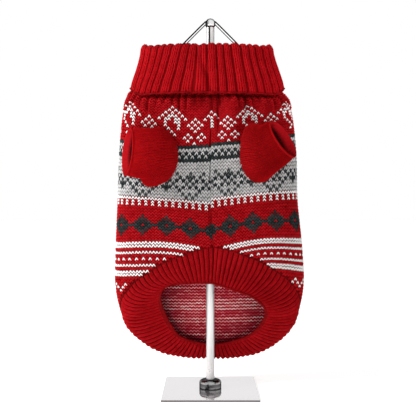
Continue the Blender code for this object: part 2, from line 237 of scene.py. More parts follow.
def on_body(height, place):
    """Points on the body's face, folds, seam groove and the pull of the hem included."""
    x, y = on_section(height, place)
    ahead = on_section(height, place + SMALL_TURN)
    behind = on_section(height, place - SMALL_TURN)
    run_x, run_y = ahead[0] - behind[0], ahead[1] - behind[1]
    long = np.hypot(run_x, run_y)
    out_x, out_y = run_y / long, -run_x / long
    share = share_of(place)
    near = np.clip(1.0 - np.clip(height - hem("height", share), 0.0, None) / HEM_PULL_REACH, 0, 1) ** 2
    from_seam = (1.0 - share) * HALF_GIRTH
    groove = SEAM_GROOVE_DEEP * np.exp(-(from_seam / SEAM_GROOVE_WIDE) ** 2)
    sway = PLEAT_SWAY * np.cos(place * PLEAT_TURNS[1])
    pleat = 0.5 + 0.5 * np.cos(place * PLEAT_TURNS[0] + sway)
    reach = PLEAT_REACH[0] + PLEAT_REACH[1] * np.cos(place * PLEAT_TURNS[2])
    gathers = PLEAT_DEEP * smooth((height - PLEAT_FOOT + reach) / PLEAT_FADE) * (pleat**0.5 - PLEAT_CREST)
    gathers = gathers * smooth((NECK_EASE - height) / PLEAT_EASE)
    drawn_in = DRAWN_IN * smooth((height - DRAWN_IN_FOOT) / DRAWN_IN_FADE)
    drawn_in = drawn_in * smooth((NECK_EASE - height) / DRAWN_IN_EASE)
    drawn_in = drawn_in * smooth((SHOULDER_OUT - np.abs(x)) / SHOULDER_WIDE)
    push = fold_lift(x, y, height) + gathers - drawn_in - hem("pull", share) * near - groove
    return np.stack([x + out_x * push, y + out_y * push, height], axis=-1)


def faced(points):
    """A grid of points on a closed cloth, rows down and columns round, with the way each faces."""
    wrapped = np.concatenate([points[:, -2:-1], points, points[:, 1:2]], axis=1)
    across = wrapped[:, 2:] - wrapped[:, :-2]
    down = np.gradient(points, axis=0)
    out = np.cross(across, -down)
    out /= np.maximum(np.linalg.norm(out, axis=-1, keepdims=True), 1e-9)
    return points, out


def lay(cloth, across, down, lift):
    """Places on a cloth, in columns round and rows down, lifted off its face."""
    return between(cloth[0], down, across) + lift[..., None] * between(cloth[1], down, across)


STITCH_WIDE = 3.4       # by the belly seam
STITCH_WIDENS = 0.006   # over each column towards the back


def place_of_wale(wale):
    """Half girths from the seam: the stitches are a little wider towards the back."""
    near = np.minimum(wale, WALES - wale)
    part = (STITCH_WIDE * near + STITCH_WIDENS * near**2) / HALF_GIRTH
    return np.where(wale <= WALES / 2, part, 2.0 - part)


def hang(row_at, place_at):
    """Heights of rows of stitches at places round the body."""
    row, place = row_at.ravel(), place_at.ravel()
    rows = np.array([line[0] for line in HANG])
    heights = np.array([read(HANG_PLACES, line[1:], place) for line in HANG])
    low = np.clip(np.searchsorted(rows, row) - 1, 0, len(rows) - 2)
    part = (row - rows[low]) / (rows[low + 1] - rows[low])
    pick = np.arange(len(row))
    found = heights[low, pick] * (1 - part) + heights[low + 1, pick] * part
    return found.reshape(row_at.shape)


HALF_STEPS = 2          # points of a cloth's grid to each stitch
wale_grid, row_grid = np.meshgrid(np.arange(WALES * HALF_STEPS + 1) / HALF_STEPS,
                                  FIRST_COURSE + np.arange(COURSES * HALF_STEPS + 1) / HALF_STEPS)
place_grid = place_of_wale(wale_grid)
height_grid = hang(row_grid, place_grid)
# The left half was sewn on with its columns leaning in towards the seam, by up to two stitches.
LEAN_WALES = 2.0
LEAN_FOOT = 215.0
LEAN_RISE = 95.0
near_seam = np.clip(1.0 - (WALES - wale_grid) / (WALES / 2), 0, 1)
lean_in = LEAN_WALES * smooth((height_grid - LEAN_FOOT) / LEAN_RISE) * near_seam
leaning_wale = np.where(wale_grid > WALES / 2, wale_grid + lean_in, wale_grid)
place_grid = place_of_wale(np.minimum(leaning_wale, WALES))
height_grid = hang(row_grid, place_grid)
body_cloth = faced(on_body(height_grid, place_grid))

# The chart, one line a row and one letter a stitch, repeated round the body: "." is the red ground,
# W white, L light grey and C charcoal. The white peaks come under the collar and again by the tail.
PEAKS = [
    ".......W......", "......W.W.....", ".....W.W.W....", "....W.WWW.W...", "W..W.WW.WW.W..",
    ".W...W..WW...W", "W.W..W...W..W.", ".W....W..W...W", "W......W......", "..W.....W...W.",
    ".W.W...W...W.W", "..W.........W.", "W.............",
]
CHART = ["."] * 9 + PEAKS + [
    "C", "L", "CL", "LC", "C", "L", "L", "L",
    "CLLLCLLLLLCLLL", "CCLCLLLLLLLCLC", "CL", "LCLLLCLCLCLLLC", "CLCLCLCCCLCLCL",
    "LLLCLLLCLLLCLL", "CLCLLLLLLLLLCL", "LCLLLLLLLLLLLC",
    "W", ".W", ".W", ".", ".",
    ".", "C......", "CC....C", "CCC..CC", ".CCCCCC", "CCC..CC", "CC....C", "C......", ".",
    ".", "W", "W", ".", "W", ".", "W.", ".", "W", ".", "W", "W", ".", ".",
    "W...", ".W.W", "..W.", ".",
] + PEAKS + [".", "W.", ".", "W", "W", ".", ".", ".", "."]
COLOURS = ".WLC"
CHART_SHIFT = 5         # the chart's first letter falls on this column, right of the seam


def chart_line(course):
    """The chart's line for a course, counted down from the neck edge."""
    return CHART[min(max(course, 0), len(CHART) - 1)]


def chart_colour(wale, course):
    """Number of the wool at a stitch: 0 red, 1 white, 2 light grey, 3 charcoal."""
    line = chart_line(course)
    return COLOURS.index(line[(wale - CHART_SHIFT) % len(line)])


def double_white(course):
    """Whether a row is white all round, with another white row next to it."""
    return chart_line(course) == "W" and "W" in (chart_line(course - 1), chart_line(course + 1))


def ground_colour(course):
    """The wool that shows between a row's stitches; red is carried behind the white rows."""
    line = chart_line(course)
    most = COLOURS.index(max(sorted(set(line)), key=line.count))
    return 0 if most == 1 else most


DOUBLE_WHITE_SIZE = 0.92
WHITE_SIZE = 0.84
LONE_RED_SIZE = 0.78


def stitch_size(wale, course):
    """White stitches are drawn in a little smaller, and so are lone red ones between charcoal."""
    before, here, after = (chart_colour(wale + step, course) for step in (-1, 0, 1))
    if here == 1:
        return DOUBLE_WHITE_SIZE if double_white(course) else WHITE_SIZE
    lone = here == 0 and before == after == ground_colour(course) == 3
    return LONE_RED_SIZE if lone else 1.0


def shader_node(tree, kind, settings, sources):
    """A new shader node, with some inputs set and others fed from the sockets that are given."""
    made = tree.nodes.new("ShaderNode" + kind)
    for name, value in settings.items():
        made.inputs[name].default_value = value
    for name, source in sources.items():
        tree.links.new(source, made.inputs[name])
    return made


def new_material(name):
    """A new material, with its node tree and its shader."""
    made = bpy.data.materials.new(name)
    made.use_nodes = True
    return made, made.node_tree, made.node_tree.nodes["Principled BSDF"]


WOOL_PATCHES = ((1100.0, 3.0, 0.45), (45.0, 2.0, 0.25))    # scale, detail, share of the tone


def wool(name, colour, tuft, gap_shade=0.30, sheen=0.04):
    """Matt wool yarn. Its colour follows the stitch's tone and painted shade, from a dark painted shade in
    the gaps, through the wool's own colour, to a bright tuft.
    """
    made, tree, shader = new_material(name)
    shader.inputs["Roughness"].default_value = 0.92
    shader.inputs["Specular IOR Level"].default_value = 0.06
    shader.inputs["Sheen Weight"].default_value = sheen
    shader.inputs["Sheen Roughness"].default_value = 0.5
    shader.inputs["Sheen Tint"].default_value = (*tuft, 1.0)
    on_piece = tree.nodes.new("ShaderNodeTexCoord").outputs["Object"]
    tone_and_shade = tree.nodes.new("ShaderNodeAttribute")
    tone_and_shade.attribute_name = "tone_and_shade"
    share = tone_and_shade.outputs["Fac"]
    for scale, detail, amount in WOOL_PATCHES:
        patches = shader_node(tree, "TexNoise", {"Scale": scale, "Detail": detail}, {"Vector": on_piece})
        weigh = shader_node(tree, "Math", {1: amount, 2: -0.5 * amount}, {0: patches.outputs["Fac"]})
        weigh.operation = "MULTIPLY_ADD"
        total = shader_node(tree, "Math", {}, {0: weigh.outputs[0], 1: share})
        total.operation = "ADD"
        share = total.outputs[0]
    ramp = shader_node(tree, "ValToRGB", {}, {"Fac": share})
    # The ramp's dark end is painted shade for the gaps between stitches.
    ramp.color_ramp.elements[0].position = 0.0
    ramp.color_ramp.elements[0].color = (*np.multiply(colour, gap_shade), 1.0)
    ramp.color_ramp.elements[1].position = 1.0
    ramp.color_ramp.elements[1].color = (*tuft, 1.0)
    middle = ramp.color_ramp.elements.new(0.6)
    middle.color = (*colour, 1.0)
    tree.links.new(ramp.outputs["Color"], shader.inputs["Base Color"])
    fibres = shader_node(tree, "TexNoise", {"Scale": 2600.0, "Detail": 2.0}, {"Vector": on_piece})
    bump = shader_node(tree, "Bump", {"Strength": 0.5, "Distance": 0.0004}, {"Height": fibres.outputs["Fac"]})
    tree.links.new(bump.outputs["Normal"], shader.inputs["Normal"])
    return made


red_wool = wool("red_wool", (0.368, 0.0023, 0.0046), (0.5152, 0.00736, 0.01288), 0.10)
# White's gap shade is tinted red: partly painted red light bounced from the ground, partly red fibres that
# show through.
white_wool = wool("white_wool", (0.95, 0.89, 0.88), (1.0, 0.99, 0.99), (0.60, 0.30, 0.30))
grey_wool = wool("light_grey_wool", (0.46, 0.45, 0.45), (0.64, 0.63, 0.63), 0.05)
charcoal_wool = wool("charcoal_wool", (0.018, 0.024, 0.024), (0.042, 0.052, 0.052), 0.3, 0.0)
BODY_WOOLS = (red_wool, white_wool, grey_wool, charcoal_wool)
red_back = wool("red_wool_back", (0.29, 0.003, 0.011), (0.36, 0.008, 0.018), 0.75)
grey_back = wool("grey_wool_back", (0.30, 0.29, 0.29), (0.34, 0.33, 0.33), 0.75)
PANEL_WOOLS = BODY_WOOLS + (red_back, red_back, grey_back, grey_back)


def in_scene(name, data):
    made = bpy.data.objects.new(name, data)
    bpy.context.scene.collection.objects.link(made)
    return made


def mesh_of(shape, mesh):
    """Writes a bmesh into a mesh, given or named, and lets go of it."""
    if isinstance(mesh, str):
        mesh = bpy.data.meshes.new(mesh)
    shape.to_mesh(mesh)
    shape.free()
    mesh.shade_smooth()
    return mesh


def new_piece(name, mesh, wools):
    """A finished piece of the sweater, which rides with the object."""
    piece = in_scene(name, mesh)
    for yarn in wools:
        mesh.materials.append(yarn)
    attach(piece, "root")
    return piece


def baked(thing):
    """The mesh that an object's modifiers make."""
    bpy.context.view_layer.update()
    seen = thing.evaluated_get(bpy.context.evaluated_depsgraph_get())
    return bpy.data.meshes.new_from_object(seen)


MEETING = 0.03          # points nearer than this are one


def get_points(mesh):
    points = np.zeros(len(mesh.vertices) * 3)
    mesh.vertices.foreach_get("co", points)
    return points.reshape(-1, 3)


def set_points(mesh, points):
    mesh.vertices.foreach_set("co", (points * MM).ravel().astype(np.float32))
    mesh.update()


# The tone that each point carries holds its random tone and its painted shade.
def set_tone_and_shade(mesh, values):
    tone_and_shade = mesh.attributes.new("tone_and_shade", "FLOAT", "POINT")
    tone_and_shade.data.foreach_set("value", np.asarray(values, np.float32))


def flat_grid(name, columns, rows):
    """A flat square of columns and rows, one unit to each, its top left corner at nought."""
    grid = bmesh.new()
    bmesh.ops.create_grid(grid, x_segments=columns, y_segments=rows, size=0.5)
    bmesh.ops.translate(grid, vec=(0.5, -0.5, 0), verts=grid.verts)
    bmesh.ops.scale(grid, vec=(columns, rows, 1), verts=grid.verts)
    return mesh_of(grid, name)


def joined_up(mesh):
    """Merges the edges that meet where a cloth is closed round."""
    shape = bmesh.new()
    shape.from_mesh(mesh)
    bmesh.ops.remove_doubles(shape, verts=shape.verts, dist=MEETING * MM)
    mesh_of(shape, mesh)


def walled(piece, thickness, inner=1):
    """Thickens the cloth inwards; its inner face takes the wool that is this far on."""
    wall = piece.modifiers.new("wall", "SOLIDIFY")
    wall.material_offset = inner
    wall.thickness = thickness * MM
    wall.offset = -1.0
    wall.use_even_offset = False
    return piece


def stitch_block(wales, courses, width, length, thick, lean, dip, segments):
    """Knitted stitches side by side in wales and courses, each of two legs that meet at the top."""
    one = bmesh.new()
    for side in (-1, 1):
        leg = bmesh.ops.create_uvsphere(one, u_segments=segments, v_segments=3, radius=0.5)["verts"]
        bmesh.ops.scale(one, vec=(width, thick, length), verts=leg)
        bmesh.ops.rotate(one, verts=leg, matrix=Matrix.Rotation(-math.pi / 2, 3, "X"))
        bmesh.ops.rotate(one, verts=leg, matrix=Matrix.Rotation(math.radians(lean * side), 3, "Z"))
        bmesh.ops.translate(one, vec=(side * 0.25, 0, 0), verts=leg)
    for corner in one.verts:
        corner.co.z += dip * corner.co.y
    block = in_scene("stitches", mesh_of(one, "stitch"))
    each = len(block.data.vertices)
    each_faces = len(block.data.polygons)
    for count, step in ((wales, (1, 0, 0)), (courses, (0, -1, 0))):
        repeat = block.modifiers.new("repeat", "ARRAY")
        repeat.count = count
        repeat.use_relative_offset = False
        repeat.use_constant_offset = True
        repeat.constant_offset_displace = step
    mesh = baked(block)
    bpy.data.objects.remove(block)
    return mesh, each, each_faces


STITCH_SHIFT = 0.035    # how unevenly the stitches lie, and how unevenly they swell
STITCH_SWELL = 0.05


def knitted(name, cloth, first_wale, wales, courses, wools, seed, colour_at=None, keep_at=None,
            size_at=None, relief=None, width=0.41, length=1.42, thick=1.5, lean=27.0, dip=0.5, lift=0.55,
            tones_and_shade=(0.45, 0.85), depth_shade=0.5, rib=None, squeeze=1.0, segments=5):
    """Stitches laid over a cloth, each in the wool of its place in the chart."""
    mesh, each, each_faces = stitch_block(wales, courses, width, length, thick, lean, dip, segments)
    places = [(first_wale + i % wales, i // wales) for i in range(wales * courses)]
    points = get_points(mesh)
    number = np.arange(len(points)) // each
    wale, course = number % wales, number // wales
    uneven = np.random.default_rng(seed)
    shift = uneven.normal(0, STITCH_SHIFT, (len(places), 2))[number]
    swell = 1.0 + uneven.normal(0, STITCH_SWELL, len(places))[number]
    size = np.array([size_at(*place) for place in places])[number] if size_at else 1.0
    u = (points[:, 0] - wale) * size + wale + 0.5 + first_wale + shift[:, 0]
    v = -(points[:, 1] + course) * size + course + 0.5 + shift[:, 1]
    if rib:
        middle = (np.floor((wale + first_wale) / rib) + 0.5) * rib
        u = middle + (u - middle) * squeeze
    raise_by = lift + points[:, 2] * swell
    if relief:
        raise_by = raise_by + relief(u, v)
    # Each stitch gets a random tone, plus a painted shade set by how deep each point lies in the stitch,
    # darker towards the gaps.
    set_tone_and_shade(mesh, uneven.uniform(*tones_and_shade, len(places))[number] + depth_shade * points[:, 2] / thick)
    set_points(mesh, lay(cloth, u * HALF_STEPS, v * HALF_STEPS, raise_by))
    if colour_at:
        picked = np.repeat([colour_at(*place) for place in places], each_faces)
        mesh.polygons.foreach_set("material_index", picked.astype(np.int32))
    if keep_at:
        kept = np.array([keep_at(across + 0.5, down + 0.5) for across, down in places])
        shape = bmesh.new()
        shape.from_mesh(mesh)
        gone = [corner for corner, stays in zip(shape.verts, kept[number]) if not stays]
        bmesh.ops.delete(shape, geom=gone, context="VERTS")
        mesh_of(shape, mesh)
    mesh.shade_smooth()
    mesh.name = name
    return new_piece(name, mesh, wools)


# Armholes, on the belly side: across, height, half width, half height.
ARMHOLES = ((-55.0, 260.0, 19.0, 28.0), (52.0, 261.0, 19.0, 28.0))


def in_armhole(point, margin):
    return any(point[1] < 0 and ((point[0] - x) / (wide + margin)) ** 2
               + ((point[2] - z) / (tall + margin)) ** 2 < 1 for x, z, wide, tall in ARMHOLES)


# The cloth behind the stitches, in rows that run from the neck to the hem line.
PANEL_ROWS = 96
PANEL_THICK = 1.2
PANEL_LIFT = -0.2
PANEL_GAP_SHADE = 0.2        # painted shade: dark, as the cloth between the stitches
panel = flat_grid("body_panel_knit", WALES, PANEL_ROWS)
panel_at = get_points(panel)
panel_place = place_of_wale(panel_at[:, 0])
panel_hem = hem("height", share_of(panel_place))
panel_height = NECK_HEIGHT + (panel_hem - NECK_HEIGHT) * -panel_at[:, 1] / PANEL_ROWS
panel_points = on_body(panel_height, panel_place)
panel_grid = panel_points[np.lexsort((panel_at[:, 0], -panel_at[:, 1]))].reshape(PANEL_ROWS + 1, WALES + 1, 3)
panel_cloth = faced(panel_grid)
set_points(panel, lay(panel_cloth, panel_at[:, 0], -panel_at[:, 1], np.full(len(panel_at), PANEL_LIFT)))
for face in panel.polygons:
    middle = face.center / MM
    wale = int(np.clip(round(sum(panel_at[i, 0] for i in face.vertices) / 4 - 0.5), 0, WALES - 1))
    rows_here = height_grid[:, wale * HALF_STEPS + 1]
    row = np.interp(-middle.z, -rows_here, row_grid[:, 0])
    face.material_index = ground_colour(round(float(row)) - int(FIRST_COURSE + 0.5))
set_tone_and_shade(panel, np.full(len(panel.vertices), PANEL_GAP_SHADE))
joined_up(panel)
body_panel = new_piece("body_panel_knit", panel, PANEL_WOOLS)
walled(body_panel, PANEL_THICK, len(BODY_WOOLS))
PUNCH_LONG = 60         # so that it goes through the belly side alone
PUNCH_OUT = 40
for x, z, wide, tall in ARMHOLES:
    shape = bmesh.new()
    bmesh.ops.create_cone(shape, cap_ends=True, segments=40, radius1=1, radius2=1, depth=1)
    bmesh.ops.scale(shape, vec=(wide * MM, tall * MM, PUNCH_LONG * MM), verts=shape.verts)
    bmesh.ops.rotate(shape, verts=shape.verts, matrix=Matrix.Rotation(math.pi / 2, 3, "X"))
    bmesh.ops.translate(shape, vec=(x * MM, -PUNCH_OUT * MM, z * MM), verts=shape.verts)
    punch = in_scene("armhole_punch", mesh_of(shape, "armhole_punch"))
    cut = body_panel.modifiers.new("armhole", "BOOLEAN")
    cut.operation = "DIFFERENCE"
    cut.solver = "EXACT"
    cut.object = punch
    body_panel.data = baked(body_panel)
    body_panel.modifiers.clear()
    bpy.data.objects.remove(punch)
body_panel.data.shade_smooth()
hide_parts("body_panel")


TOP_STITCH = 338.5      # height, just under the neck seam
ABOVE_HEM = 1.2
BEYOND_ARMHOLE = 0.8
SHORT_OF_SEAM = 0.35    # of a stitch


def on_panel(wale, course):
    """Whether a stitch is on the panel: above the hem, outside the armholes, not past the seam."""
    i, j = int(course * HALF_STEPS), int(wale * HALF_STEPS)
    height, place = height_grid[i, j], place_grid[i, j]
    if leaning_wale[i, j] > WALES - SHORT_OF_SEAM:
        return False
    if height < float(hem("height", share_of(place))) + ABOVE_HEM or height > TOP_STITCH:
        return False
    return not in_armhole(body_cloth[0][i, j], BEYOND_ARMHOLE)


QUARTER = WALES // 4
for k, quarter in enumerate(("belly_right", "back_right", "back_left", "belly_left")):
    knitted("stitches_" + quarter, body_cloth, k * QUARTER, QUARTER, COURSES,
                                 BODY_WOOLS, seed=11 + k, colour_at=chart_colour,
                                 keep_at=on_panel, size_at=stitch_size)

# Inside the back, the wool that a row isn't using runs behind it in short wavy strands.
float_white = wool("float_white", (1.0, 0.46, 0.49), (1.0, 0.84, 0.84), 0.5)
float_pink = wool("float_pink", (0.60, 0.11, 0.15), (0.86, 0.34, 0.38), 0.3)
FLOAT_ROWS = "pppwppppwpppwwwwppwwpppwpppw"
FLOAT_START = 60        # first row of stitches down from the neck that has them
FLOAT_FIRST = 41        # first column of stitches that has them
FLOAT_WALES = 42
FLOAT_ABOVE_HEM = 4.0


def float_colour(wale, course):
    return "wp".index(FLOAT_ROWS[course])


def inside_panel(wale, course):
    i, j = int((course + FLOAT_START) * HALF_STEPS), int(wale * HALF_STEPS)
    return height_grid[i, j] > float(hem("height", share_of(place_grid[i, j]))) + FLOAT_ABOVE_HEM


inside_cloth = (body_cloth[0][FLOAT_START * HALF_STEPS:], body_cloth[1][FLOAT_START * HALF_STEPS:])
inside_floats = knitted("strands_inside_back", inside_cloth, FLOAT_FIRST, FLOAT_WALES, len(FLOAT_ROWS),
                        (float_white, float_pink), seed=21, colour_at=float_colour,
                        keep_at=inside_panel, width=0.24, length=0.90, thick=0.9, lean=37.0, dip=0.0,
                        lift=-1.9, tones_and_shade=(0.3, 1.0), depth_shade=-0.1, segments=4)

# ---------------------------------------------------------------- folded collar
# A tube of broad rib sewn round the neck, folded over outwards: it goes up inside, turns over the
# top and comes down outside as a skirt. It stands a little flared, and ends in a small rolled edge.

# Closed sections along the cloth: height at the sides, height at the belly and back, lean, half
# width and half depth.
COLLAR = [
    (340.5, 340.5, -0.8, 75.0, 32.6),
    (343.0, 343.0, -0.9, 74.9, 32.5),
    (350.0, 348.5, -1.8, 73.6, 32.2),
    (362.0, 357.0, -3.2, 69.8, 31.2),
    (376.0, 370.5, -3.8, 67.0, 30.3),
    (383.4, 378.4, -3.8, 67.2, 30.6),
    (386.0, 381.4, -3.8, 69.4, 32.6),
    (383.8, 379.2, -3.8, 71.8, 34.8),
    (374.0, 369.0, -3.6, 73.6, 36.4),
    (358.0, 349.5, -3.2, 78.2, 40.4),
    (345.0, 335.5, -3.2, 82.6, 43.4),
    (336.5, 326.5, -3.4, 84.6, 44.8),
]
COLLAR_SQUARENESS = 2.3
COLLAR_RIBS = 40
COLLAR_WALES = COLLAR_RIBS * 2
COLLAR_COURSES = 30
COLLAR_STEPS = 720


def ring_by_length(points, moved):
    """The same closed ring, with its points evenly spaced but for how far each is moved along."""
    length = np.concatenate([[0.0], np.cumsum(np.linalg.norm(np.diff(points, axis=0), axis=1))])
    at = np.clip(np.linspace(0.0, length[-1], len(moved)) + moved, 0.0, length[-1])
    return np.stack([np.interp(at, length, points[:, k]) for k in range(3)], axis=-1)


def rows_by_length(rings, count):
    """The same cloth with evenly spaced rows, smooth from ring to ring."""
    step = np.linalg.norm(np.diff(rings, axis=0), axis=-1).mean(axis=1)
    length = np.concatenate([[0.0], np.cumsum(step)])
    at = np.linspace(0.0, length[-1], count)
    flat = rings.reshape(len(rings), -1)
    return np.stack([read(length, flat[:, k], at) for k in range(flat.shape[1])],
                    axis=-1).reshape(count, -1, 3)


# No two ribs are quite as wide. On the skirt, those left of the belly seam slant away from it.
RIB_UNEVENNESS = 1.1
RIB_SLANT = -9.0
SLANT_FROM, SLANT_OVER, SLANT_END = 0.76, 0.14, 0.06    # shares of the way round
FOLD_RING = 6           # the collar's topmost section
BELLY_SPREAD = 0.62     # how far round the height at the belly and back reaches
collar_rings = []
collar_turn = np.linspace(0.0, 2 * math.pi, COLLAR_STEPS + 1)
round_collar = np.linspace(0.0, 1.0, COLLAR_WALES * HALF_STEPS + 1)
uneven_ribs = RIB_UNEVENNESS * np.sin(round_collar * 22 * math.pi)
slant = RIB_SLANT * smooth((1.0 - round_collar) / SLANT_END)
slant = slant * smooth((round_collar - SLANT_FROM) / SLANT_OVER)
for number, (side_height, belly_height, lean, half_width, half_depth) in enumerate(COLLAR):
    power = 2.0 / COLLAR_SQUARENESS
    sine, cosine = np.sin(collar_turn), np.cos(collar_turn)
    ring = np.stack([lean + np.sign(sine) * half_width * np.abs(sine) ** power,
                     -np.sign(cosine) * half_depth * np.abs(cosine) ** power,
                     side_height + (belly_height - side_height) * smooth(np.abs(cosine) / BELLY_SPREAD)],
                    axis=-1)
    down_skirt = (number - FOLD_RING) / (len(COLLAR) - 1 - FOLD_RING)
    collar_rings.append(ring_by_length(ring, uneven_ribs + slant * smooth(down_skirt)))
collar_cloth = faced(rows_by_length(np.array(collar_rings), COLLAR_COURSES * HALF_STEPS + 1))


RIB_HEIGHTS = (0.82, 1.12)      # shares of their height that ribs vary between
RIB_BROAD = 0.35                # how far a rib is broad and round, not a wave


def rib_relief(tall, wales_a_rib, ribs, seed, flat_from=1000.0, flat_to=1001.0):
    """Height of rounded ribs, no two quite the same; they flatten out between two rows."""
    uneven = np.random.default_rng(seed).uniform(*RIB_HEIGHTS, ribs)

    def relief(u, v):
        across = np.abs(2 * ((u / wales_a_rib) % 1.0) - 1)
        own = uneven[np.clip(np.floor(u / wales_a_rib).astype(int), 0, ribs - 1)]
        fade = 1.0 - smooth((v - flat_from) / (flat_to - flat_from))
        wave = 0.5 + 0.5 * np.cos(math.pi * across)
        return tall * own * (RIB_BROAD * (1 - across**2) + (1 - RIB_BROAD) * wave) * fade
    return relief


RIB_THICK = 1.0
EDGE_TURNS = 8


def ribbed_shell(name, cloth, wales, courses, wools, relief, lift, tone_and_shade, fine=3):
    """The closed tube of ribbed cloth behind the stitches, so many faces to each column."""
    columns, rows = wales * fine, courses * 2
    mesh = flat_grid(name, columns, rows)
    at = get_points(mesh)
    u = at[:, 0] / columns * wales
    v = -at[:, 1] / rows * courses
    set_points(mesh, lay(cloth, u * HALF_STEPS, v * HALF_STEPS, lift + relief(u, v)))
    set_tone_and_shade(mesh, tone_and_shade(v))
    joined_up(mesh)
    return walled(new_piece(name, mesh, wools), RIB_THICK)


def rolled_edge(name, cloth, wales, yarn, relief, at_row, radius, lift, tones_and_shade=(0.1, 0.4), fine=3):
    """A small roll of cloth along an edge, closed round."""
    columns = wales * fine
    mesh = flat_grid(name, columns, EDGE_TURNS)
    at = get_points(mesh)
    u = at[:, 0] / columns * wales
    angle = at[:, 1] / EDGE_TURNS * 2 * math.pi
    row_pitch = np.linalg.norm(cloth[0][-1] - cloth[0][-3], axis=-1).mean()
    v = at_row + radius * np.sin(angle) / row_pitch
    set_points(mesh, lay(cloth, u * HALF_STEPS, v * HALF_STEPS, lift + relief(u, v) + radius * np.cos(angle)))
    set_tone_and_shade(mesh, np.random.default_rng(5).uniform(*tones_and_shade, len(at)))
    joined_up(mesh)
    return new_piece(name, mesh, (yarn,))


# The collar's own seam is at the belly: its ribs flatten there, and the join runs down aslant.
# At its foot the ribs are pulled flat against the neck edge, where they are sewn in.
COLLAR_RIB_TALL = 2.0
FOLD_ROW = 13.0
SEAM_START, SEAM_SLANT = -1.6, 2.1      # columns from mid belly at the fold, and on down the skirt
COLLAR_GROOVE_DEEP = 3.2
COLLAR_GROOVE_WIDE = 0.55
SEAM_FLATTER = 0.6      # share of the ribs' height that is lost beside the seam
SEAM_BESIDE = 1.5
SEAM_WIDE, SEAM_WIDENS = 0.6, 1.3
FOLD_FLATTER = 0.45     # and over the fold
FOLD_ROWS = 2.5
SEWN_IN = 3.4
SEWN_FROM, SEWN_ROWS = 0.2, 2.0
collar_ribs = rib_relief(COLLAR_RIB_TALL, 2, COLLAR_RIBS, seed=61)


def collar_relief(u, v):
    down = np.clip((v - FOLD_ROW) / (COLLAR_COURSES - FOLD_ROW), 0.0, 1.0)
    half = COLLAR_WALES / 2
    from_seam = (u - (SEAM_START + SEAM_SLANT * smooth(down)) + half) % COLLAR_WALES - half
    flat_wide = SEAM_WIDE + SEAM_WIDENS * down
    flatter = 1.0 - SEAM_FLATTER * np.exp(-((from_seam + SEAM_BESIDE) / flat_wide) ** 2)
    at_fold = 1.0 - FOLD_FLATTER * np.exp(-((v - FOLD_ROW) / FOLD_ROWS) ** 2)
    groove = COLLAR_GROOVE_DEEP * np.exp(-(from_seam / COLLAR_GROOVE_WIDE) ** 2)
    sewn_in = 1.0 - smooth((v - SEWN_FROM) / SEWN_ROWS)
    return (collar_ribs(u, v) * flatter * at_fold - groove) * (1.0 - sewn_in) + SEWN_IN * sewn_in


collar_wool = wool("collar_wool", (0.36, 0.0022, 0.0045), (0.46, 0.005, 0.010), 0.18)
collar_back = wool("collar_wool_back", (0.36, 0.004, 0.008), (0.42, 0.01, 0.014), 0.8)
# The shell's low tone is painted shade between the ribs' stitches.
collar = ribbed_shell("collar_rib", collar_cloth, COLLAR_WALES, COLLAR_COURSES,
                      (collar_wool, collar_back), collar_relief, lift=-1.4,
                      tone_and_shade=lambda v: np.full_like(v, 0.25))
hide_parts("collar")
collar_stitches = knitted("stitches_collar", collar_cloth, 0, COLLAR_WALES, COLLAR_COURSES, (collar_wool,),
                          seed=31, relief=collar_relief, width=0.50, length=1.8, lean=9.0,
                          dip=0.15, lift=-1.1, thick=1.4, tones_and_shade=(0.45, 0.72), rib=2, squeeze=0.80)
collar_edge = rolled_edge("collar_rolled_edge", collar_cloth, COLLAR_WALES, collar_wool,
                          rib_relief(1.8, 2, COLLAR_RIBS, seed=61), at_row=COLLAR_COURSES - 0.1,
                          radius=1.1, lift=-0.6)

# ---------------------------------------------------------------- sleeves
# Two short sleeves of fine rib, sewn into the armholes. Each stands off the belly and turns out
# sideways to an open cuff with a bound-off edge.

# name, side, armhole, cuff middle, cuff (half long, half short), turn, tilt,
# where it puffs out by the armhole, in degrees round from the top, and how far across and up,
# how many rows of the lining are painted as lit, tones of its stitches, lower on the right sleeve as painted
# shade
SLEEVES = [
    ("left", -1, ARMHOLES[0], (-87.0, -50.0, 263.5), (24.5, 12.0), 70.0, 6.0,
     180.0, (-6.0, -5.0), 5.5, (0.45, 0.7)),
    ("right", 1, ARMHOLES[1], (76.0, -53.0, 277.0), (22.0, 12.0), 60.0, 34.0,
     -40.0, (-3.0, 7.0), 7.0, (0.18, 0.40)),
]
SLEEVE_ROOT_HALF = np.array([29.0, 20.0])   # half its height and half its width
SLEEVE_RISE = 20.0
SLEEVE_RIBS = 52
SLEEVE_RIB_TALL = 0.7
SLEEVE_COURSES = 20
SLEEVE_RINGS = 10       # sections from the armhole to the cuff
SLEEVE_SEWN = 1.7       # how far in front of the panel's bare form it is sewn, and where its
SLEEVE_START = 4.5      # curve starts
SEAM_DEEP = 2.5
CUFF_REACH = 2.2        # the far side of a cuff stands out this much beyond its middle
PUFF_END = 0.6          # share of the way along where the sleeve no longer puffs out
SLEEVE_LIT = 0.7        # painted light: tone of the lining by the cuff, and the share of its rows that fade to painted shade
SLEEVE_LIT_FADE = 0.6
sleeve_wool = wool("sleeve_wool", (0.33, 0.0015, 0.003), (0.44, 0.003, 0.006), 0.4, 0.03)
# The lining's gap colour is near black: painted shade deep inside the sleeve.
sleeve_back = wool("sleeve_wool_back", (0.38, 0.004, 0.008), (0.48, 0.008, 0.012), 0.08)


def belly_depth(x, height):
    """Depth of the panel's bare form on the belly side."""
    power = form("squareness", height)
    across = np.abs(x - form("lean", height)) / form("half_width", height)
    return -form("front", height) * (1.0 - across**power) ** (1.0 / power)


